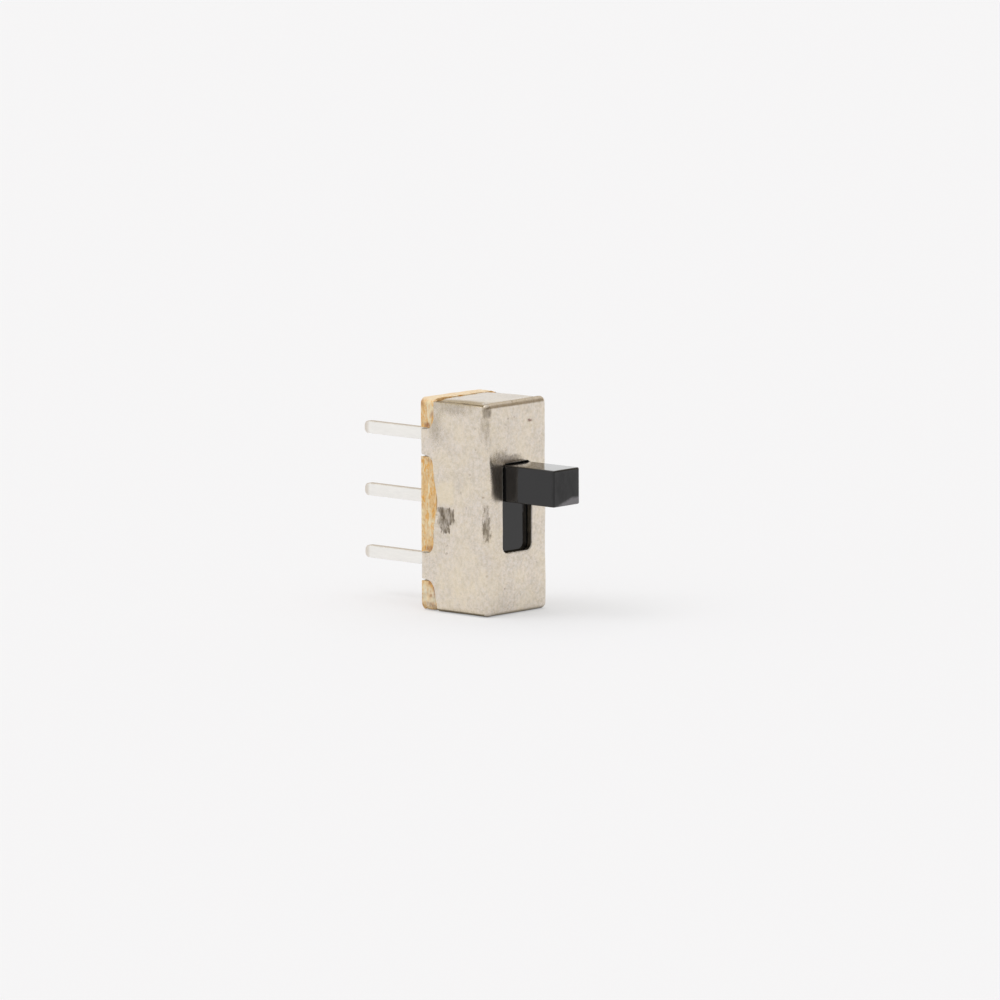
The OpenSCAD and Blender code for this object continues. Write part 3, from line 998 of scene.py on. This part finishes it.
def board_outline(s, c):
    """The board's outline in X and Z with round corners and notches, from its lower edge."""
    half_w = (BOARD_HIGH.x - BOARD_LOW.x) / 2
    length_z = BOARD_HIGH.z - BOARD_LOW.z
    half_notch = c["tab_width"] / 2 + s["notch_gap"]
    deep = half_w - s["notch_depth"]
    r, chip = s["corner"], s["chip"]
    edges = []
    for end in (-1, 1):
        centre = MIDDLE_Z + end * c["tab_pitch"] / 2
        edges += [(half_w, centre - half_notch), (deep, centre - half_notch)]
        edges += [(deep, centre + half_notch), (half_w, centre + half_notch)]
    whole_top = arc(half_w - r, length_z - r, r, 0, 90, 8)
    worn_top = [(x, z - s["worn"]) for x, z in whole_top]
    whole_low = arc(half_w - r, r, r, -90, 0, 8)
    bite = ((0.80, 0), (0.50, 0.14), (0.24, 0.45), (0.06, 0.80), (0, 1.3))
    chipped = [(half_w - across * chip, up * chip) for across, up in bite]
    right = whole_low + edges + worn_top
    left = chipped + edges + whole_top
    return right + [(-x, z) for x, z in reversed(left)]


def walk(outline):
    """The outline again with points every step, and each point's outward direction."""
    points = []
    count = len(outline)
    for i in range(count):
        a, b = Vector(outline[i]), Vector(outline[(i + 1) % count])
        run = (b - a).length
        outward = Vector((b.y - a.y, a.x - b.x)).normalized()
        pieces = max(1, round(run / STEP))
        points += [(a + (b - a) * k / pieces, outward) for k in range(pieces)]
    return [(p, (d + points[i - 1][1]).normalized()) for i, (p, d) in enumerate(points)]


# Where the board's lower corner is chipped, in X and Z, and how far around it the edge is crumbled
CHIP_X, CHIP_Z = -1.7, 0.25
CHIP_REACH_X, CHIP_REACH_Z = 0.4, 0.45


def torn_depth(x, y, z, s):
    """How deep the punched edge is torn at a point."""
    layers = noise.fractal(Vector((x * 2.5, y * 11, z * 2.5)), 0.8, 2.1, 4)
    chunks = noise.fractal(Vector((x * 1.4 + 5, y * 1.8, z * 1.4)), 0.8, 2.0, 3)
    crumbs = noise.fractal(Vector((x * 3.1, y * 4.3 + 9, z * 3.7)), 0.9, 2.0, 3)
    at_chip = math.exp(-(((x - CHIP_X) / CHIP_REACH_X) ** 2) - ((z - CHIP_Z) / CHIP_REACH_Z) ** 2)
    crumbled = s["crumble"] * at_chip * max(0.0, 0.4 + crumbs)
    return crumbled + s["tear"] * max(0.0, 0.5 + 0.7 * layers + 0.8 * chunks)


def covered_to(p, s, c):
    """How far along Y the cover laps over the board's edge at a point of its outline."""
    half_w = (BOARD_HIGH.x - BOARD_LOW.x) / 2
    if abs(p.x) > half_w - MARGIN:
        return edge_place(c, p.y - MIDDLE_Z)
    if not MARGIN < p.y < BOARD_HIGH.z - s["worn"] - MARGIN:
        return BOARD_LOW.y + c["flap_lap"]
    return None


def board_mesh(s, c):
    """The board: a torn edge between two faces, set back where the cover laps over it."""
    bm = bmesh.new()
    low = BOARD_LOW.y - MARGIN
    high = BOARD_HIGH.y
    path = walk(board_outline(s, c))
    hidden, shown = 4, 18
    columns = []
    for p, out in path:
        edge = covered_to(p, s, c)
        column = []
        for k in range(hidden + shown + 1):
            if edge is None:
                y = low + (high - low) * k / (hidden + shown)
                back = 0.0
            elif k < hidden:
                y = low + (edge - low) * k / (hidden - 1)
                back = c["sheet"] + s["lap_gap"] + c["droop"]
            else:
                start = edge + s["lap_gap"]
                y = start + (high - start) * (k - hidden) / shown
                back = 0.0
            rim = s["rim"] * max(0.0, 1 - (high - y) / s["rim"]) ** 2
            inward = back + rim + torn_depth(p.x, y, p.y, s) * min(1.0, (high - y) / STEP)
            q = p - out * inward
            column.append(bm.verts.new((q.x, y, q.y)))
        columns.append(column)
    for i, column in enumerate(columns):
        after = columns[(i + 1) % len(columns)]
        for k in range(hidden + shown):
            bm.faces.new((column[k], after[k], after[k + 1], column[k + 1]))
    bm.faces.new([column[0] for column in columns])
    bm.faces.new([column[-1] for column in columns])
    return bm


# ---- operators ----


class SwitchOperator:
    """What the building operators share."""

    bl_options = {"REGISTER", "UNDO"}

    def execute(self, context):
        self.build(context.scene)
        return {"FINISHED"}


# The tabs' fillets lie further out and further back than this, in millimetres
FILLET_X = 1.7
FILLET_Y = 0.5
# How far the faces of the painted highlight on the slot's rim are turned to the front: the Y of their
# normals, from and to
HIGHLIGHT_FROM, HIGHLIGHT_TO = -0.97, -0.2


class BuildCover(SwitchOperator, bpy.types.Operator):
    """Folded cover of plated steel"""

    bl_idname = "slide_switch.cover"
    bl_label = "Cover"

    def build(self, scene):
        s = in_mm(scene.switch_cover)
        bm = cover_shell(s)
        bmesh.ops.recalc_face_normals(bm, faces=bm.faces)
        wave_sheet(bm, s["wave"], s["slack"])
        outer = len(bm.verts)
        cover = make_object("folded_cover", bm, steel_material(scene.switch_finishes))
        cover.data.materials.append(sheared_material(scene.switch_finishes))
        solidify = cover.modifiers.new("Sheet", "SOLIDIFY")
        solidify.thickness = s["sheet"] * MM
        solidify.offset = -1
        solidify.material_offset_rim = 1
        apply_modifiers(cover)
        self.weight_rim(cover.data, outer, s["wall_step"])
        round_edges(cover, s["rim"], limit="WEIGHT")
        cover.data.materials.append(rim_highlight_material())
        # Painted highlight: the slot rim's faces that face the front get the pale finish.
        for face in cover.data.polygons:
            if self.around_slot(face, s) and HIGHLIGHT_FROM < face.normal.y < HIGHLIGHT_TO:
                face.material_index = 2
        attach(cover, HOUSING)
        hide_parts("cover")

    def weight_rim(self, mesh, outer, wall_step):
        """Marks the sheet's outer cut edges to be rounded, except on the tabs' tight fillets."""
        sides = {}
        for face in mesh.polygons:
            for key in face.edge_keys:
                sides.setdefault(key, set()).add(face.material_index)
        weights = mesh.attributes.new("bevel_weight_edge", "FLOAT", "EDGE")
        reach = HALF_LENGTH - wall_step - MARGIN
        for edge in mesh.edges:
            middle = sum((mesh.vertices[i].co / MM for i in edge.vertices), Vector()) / 2
            on_wall = abs(middle.x) > FILLET_X and abs(middle.z - MIDDLE_Z) < reach
            on_fillet = on_wall and middle.y > FILLET_Y
            cut = len(sides[edge.key]) > 1 and max(edge.vertices) < outer
            weights.data[edge.index].value = float(cut and not on_fillet)

    def around_slot(self, face, s):
        """Whether a face lies on the slot's rounded outer rim."""
        centre = face.center / MM
        near_x = abs(centre.x) < s["slot_width"] / 2 + s["rim"]
        near_z = abs(centre.z - MIDDLE_Z) < s["slot_length"] / 2 + s["rim"]
        return near_x and near_z and centre.y < COVER_LOW.y + 2 * s["rim"]


class BuildBoard(SwitchOperator, bpy.types.Operator):
    """Punched laminate board with torn edges"""

    bl_idname = "slide_switch.board"
    bl_label = "Board"

    def build(self, scene):
        s = in_mm(scene.switch_board)
        bm = board_mesh(s, in_mm(scene.switch_cover))
        board = make_object("laminate_board", bm, laminate_material(scene.switch_finishes))
        even_shading(board, 50)
        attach(board, HOUSING)
        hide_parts("base_board")


class BuildTerminals(SwitchOperator, bpy.types.Operator):
    """Three stamped terminals with rounded tips"""

    bl_idname = "slide_switch.terminals"
    bl_label = "Terminals"

    def build(self, scene):
        s = in_mm(scene.switch_terminals)
        tin = tin_material(scene.switch_finishes)
        brass = strip_material("sheared_brass", scene.switch_finishes.brass)
        for node in TERMINALS:
            outline = self.stamping(s, *box_in_mm(node))
            pin = make_object(node.replace("terminal", "pin"), outline, tin)
            pin.data.materials.append(brass)
            round_edges(pin, s["rim"])
            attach(pin, HOUSING)
            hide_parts(node)

    def stamping(self, s, low, high):
        """Blade and pin in one outline, as thick as the strip."""
        middle = (low.z + high.z) / 2
        board = BOARD_LOW.y
        r, tip, half = s["blade_corner"], s["tip"], s["pin_width"] / 2
        outline = [(board, middle - half)]
        outline += arc(high.y - tip, middle - half + tip, tip, -90, 0, 8)
        outline += arc(high.y - tip, middle + half - tip, tip, 0, 90, 8)
        outline += [(board, middle + half), (board, high.z)]
        outline += arc(low.y + r, high.z - r, r, 90, 180, 5)
        outline += arc(low.y + r, low.z + r, r, 180, 270, 5)
        outline += [(board, low.z)]
        return prism(outline, lambda u, v, w: (w, u, v), low.x, high.x, rim=1)


class BuildSlider(SwitchOperator, bpy.types.Operator):
    """Moulded slider: handle, flange and the carrier behind it"""

    bl_idname = "slide_switch.slider"
    bl_label = "Slider"

    def build(self, scene):
        s = in_mm(scene.switch_slider)
        black = plastic_material(scene.switch_finishes)
        low, high = SLIDER_LOW, SLIDER_HIGH
        middle = (low.z + high.z) / 2
        flange = COVER_LOW.y + in_mm(scene.switch_cover)["sheet"] + s["wall_gap"]
        back = flange + s["flange"]
        into = back - s["join"]

        def block(name, half_w, y_low, y_high, half_l):
            """One box of the moulding, centred across and along the slot."""
            corners = (-half_w, y_low, middle - half_l), (half_w, y_high, middle + half_l)
            return make_object(name, box_mesh(*corners), black)

        slider = block("moulded_slider", high.x, flange, back, (high.z - low.z) / 2)
        round_edges(slider, s["flange_edge"], 2)
        combine(slider, block("carrier", high.x, into, high.y, s["carrier_length"] / 2), "UNION")
        floor = back + s["channel_depth"]
        channel = block("channel", s["channel"] / 2, floor, high.y + 1, high.z - middle + 1)
        combine(slider, channel, "DIFFERENCE")
        handle = block("handle", s["handle_width"] / 2, low.y, into, s["handle_length"] / 2)
        round_edges(handle, s["handle_edge"], 4)
        combine(slider, handle, "UNION")
        even_shading(slider)
        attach(slider, SLIDER)
        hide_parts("slider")


class DressClip(SwitchOperator, bpy.types.Operator):
    """Finish of the contact clip"""

    bl_idname = "slide_switch.contact_clip"
    bl_label = "Contact clip"

    def build(self, scene):
        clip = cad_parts["contact_clip"]
        bronze = strip_material("spring_bronze", scene.switch_finishes.bronze)
        if not clip.material_slots:
            clip.data.materials.append(bronze)
        for slot in clip.material_slots:
            slot.material = bronze


FLOOR_REACH = 2000.0  # millimetres from the middle to the floor's edges
FLOOR_DEPTH = 10.0  # millimetres
LAMP_AWAY = 0.3  # metres


class BuildStage(SwitchOperator, bpy.types.Operator):
    """Pale floor, soft lamps and the camera"""

    bl_idname = "slide_switch.stage"
    bl_label = "Studio"

    def build(self, scene):
        stage = scene.switch_stage
        self.floor(stage)
        self.world(scene)
        self.lamps()
        self.camera(scene, stage)
        scene.view_settings.view_transform = "Standard"

    def floor(self, stage):
        """A wide pale floor of lit translucent sheet, which keeps the shadow light."""
        bm = box_mesh((-FLOOR_REACH, -FLOOR_REACH, -FLOOR_DEPTH), (FLOOR_REACH, FLOOR_REACH, 0))
        mat = Finish("floor")
        ray = mat.new("ShaderNodeLightPath").outputs
        mirrored = mat.math("MAXIMUM", ray["Is Glossy Ray"], ray["Is Transmission Ray"])
        mirrored = mat.math("MULTIPLY", mirrored, self.beside_switch(mat))
        mat.shade(
            Base_Color=stage.floor, Roughness=0.9, Specular_IOR_Level=0.0,
            Emission_Color=stage.glow,
            Emission_Strength=mat.math("MAXIMUM", ray["Is Camera Ray"], mirrored),
        )
        floor = make_object("floor", bm, mat.material)
        floor.data.shade_flat()

    def beside_switch(self, mat):
        """0 under the switch, where the floor gets no light, and 1 a little way off."""
        place = mat.parts(mat.place)
        past = [
            mat.math("SUBTRACT", mat.math("ABSOLUTE", place[axis]), half)
            for axis, half in (("X", COVER_HIGH.x), ("Y", BOARD_HIGH.y))
        ]
        return mat.remap(mat.math("MAXIMUM", *past), -0.25, 0.15)

    def world(self, scene):
        """White surroundings: a dimmer, warmer room in front above the horizon, and a bright ceiling."""
        world = bpy.data.worlds.new("Studio")
        scene.world = world
        world.use_nodes = True
        sky = Nodes(world.node_tree)
        toward = sky.parts(sky.new("ShaderNodeTexCoord").outputs["Generated"])
        height = toward["Z"]
        tone = sky.mix(sky.remap(height, 0.18, 0.40), (0.94, 0.94, 0.94), (0.66, 0.60, 0.51))
        front = sky.remap(sky.math("MULTIPLY", toward["Y"], -1.0), -0.1, 0.6)
        above = sky.remap(height, 0.02, 0.18)
        below = sky.remap(height, 0.85, 0.60)
        room = sky.math("MULTIPLY", front, sky.math("MULTIPLY", above, below))
        tone = sky.mix(room, tone, (0.38, 0.33, 0.26))
        tone = sky.mix(sky.remap(height, 0.62, 0.88), tone, (1.24, 1.24, 1.24))
        set_inputs(world.node_tree.nodes["Background"], Color=tone)

    def lamps(self):
        """A soft key light from the left behind the switch, and a broad fill from the left."""
        self.lamp("Key", -128, 58, 28, 0.40)
        self.lamp("Fill", -90, 55, 90, 0.22)

    def lamp(self, name, azimuth, elevation, breadth, strength):
        """A far soft light that looks at the switch, with its angles in degrees."""
        data = bpy.data.lights.new(name, "SUN")
        data.angle = math.radians(breadth)
        data.energy = strength
        lamp = bpy.data.objects.new(name, data)
        bpy.context.scene.collection.objects.link(lamp)
        toward = view_back(math.radians(azimuth), math.radians(elevation))
        lamp.location = toward * LAMP_AWAY
        lamp.rotation_euler = toward.to_track_quat("Z", "Y").to_euler()

    def camera(self, scene, stage):
        """The camera at its named angles, with its axis beside the switch's middle."""
        back = view_back(stage.azimuth, stage.elevation)
        right = (-back).cross(Vector((0, 0, 1))).normalized()
        up = right.cross(-back)
        level = Matrix((right, up, back)).transposed()
        turn = level @ Matrix.Rotation(stage.roll, 3, "Z")
        aim = Vector((0, BOARD_HIGH.y, MIDDLE_Z)) * MM
        aim += turn.col[0] * stage.right - turn.col[1] * stage.down
        data = bpy.data.cameras.new("Camera")
        data.lens = stage.lens
        data.sensor_width = 36
        data.clip_start = 0.01
        camera = bpy.data.objects.new("Camera", data)
        scene.collection.objects.link(camera)
        camera.matrix_world = Matrix.Translation(aim + back * stage.distance) @ turn.to_4x4()
        scene.camera = camera


def view_back(azimuth, elevation):
    """The direction from the switch to a camera or lamp."""
    flat = math.cos(elevation)
    return Vector((math.sin(azimuth) * flat, -math.cos(azimuth) * flat, math.sin(elevation)))


class SwitchPanel(bpy.types.Panel):
    """Lists the switch's pieces"""

    bl_idname = "VIEW3D_PT_slide_switch"
    bl_label = "Slide Switch"
    bl_space_type = "VIEW_3D"
    bl_region_type = "UI"
    bl_category = "Switch"

    def draw(self, context):
        for operator in OPERATORS:
            self.layout.operator(operator.bl_idname)
        for name, group in GROUPS.items():
            box = self.layout.box()
            for prop in group.__annotations__:
                box.prop(getattr(context.scene, name), prop)


OPERATORS = (BuildCover, BuildBoard, BuildTerminals, BuildSlider, DressClip, BuildStage)


def register():
    for group in GROUPS.values():
        bpy.utils.register_class(group)
    for name, group in GROUPS.items():
        setattr(bpy.types.Scene, name, PointerProperty(type=group))
    for operator in OPERATORS:
        bpy.utils.register_class(operator)
    bpy.utils.register_class(SwitchPanel)


def unregister():
    bpy.utils.unregister_class(SwitchPanel)
    for operator in reversed(OPERATORS):
        bpy.utils.unregister_class(operator)
    for name, group in GROUPS.items():
        delattr(bpy.types.Scene, name)
        bpy.utils.unregister_class(group)


def main():
    register()
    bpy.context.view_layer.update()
    for operator in OPERATORS:
        group, name = operator.bl_idname.split(".")
        getattr(getattr(bpy.ops, group), name)()


if __name__ == "__main__":
    main()
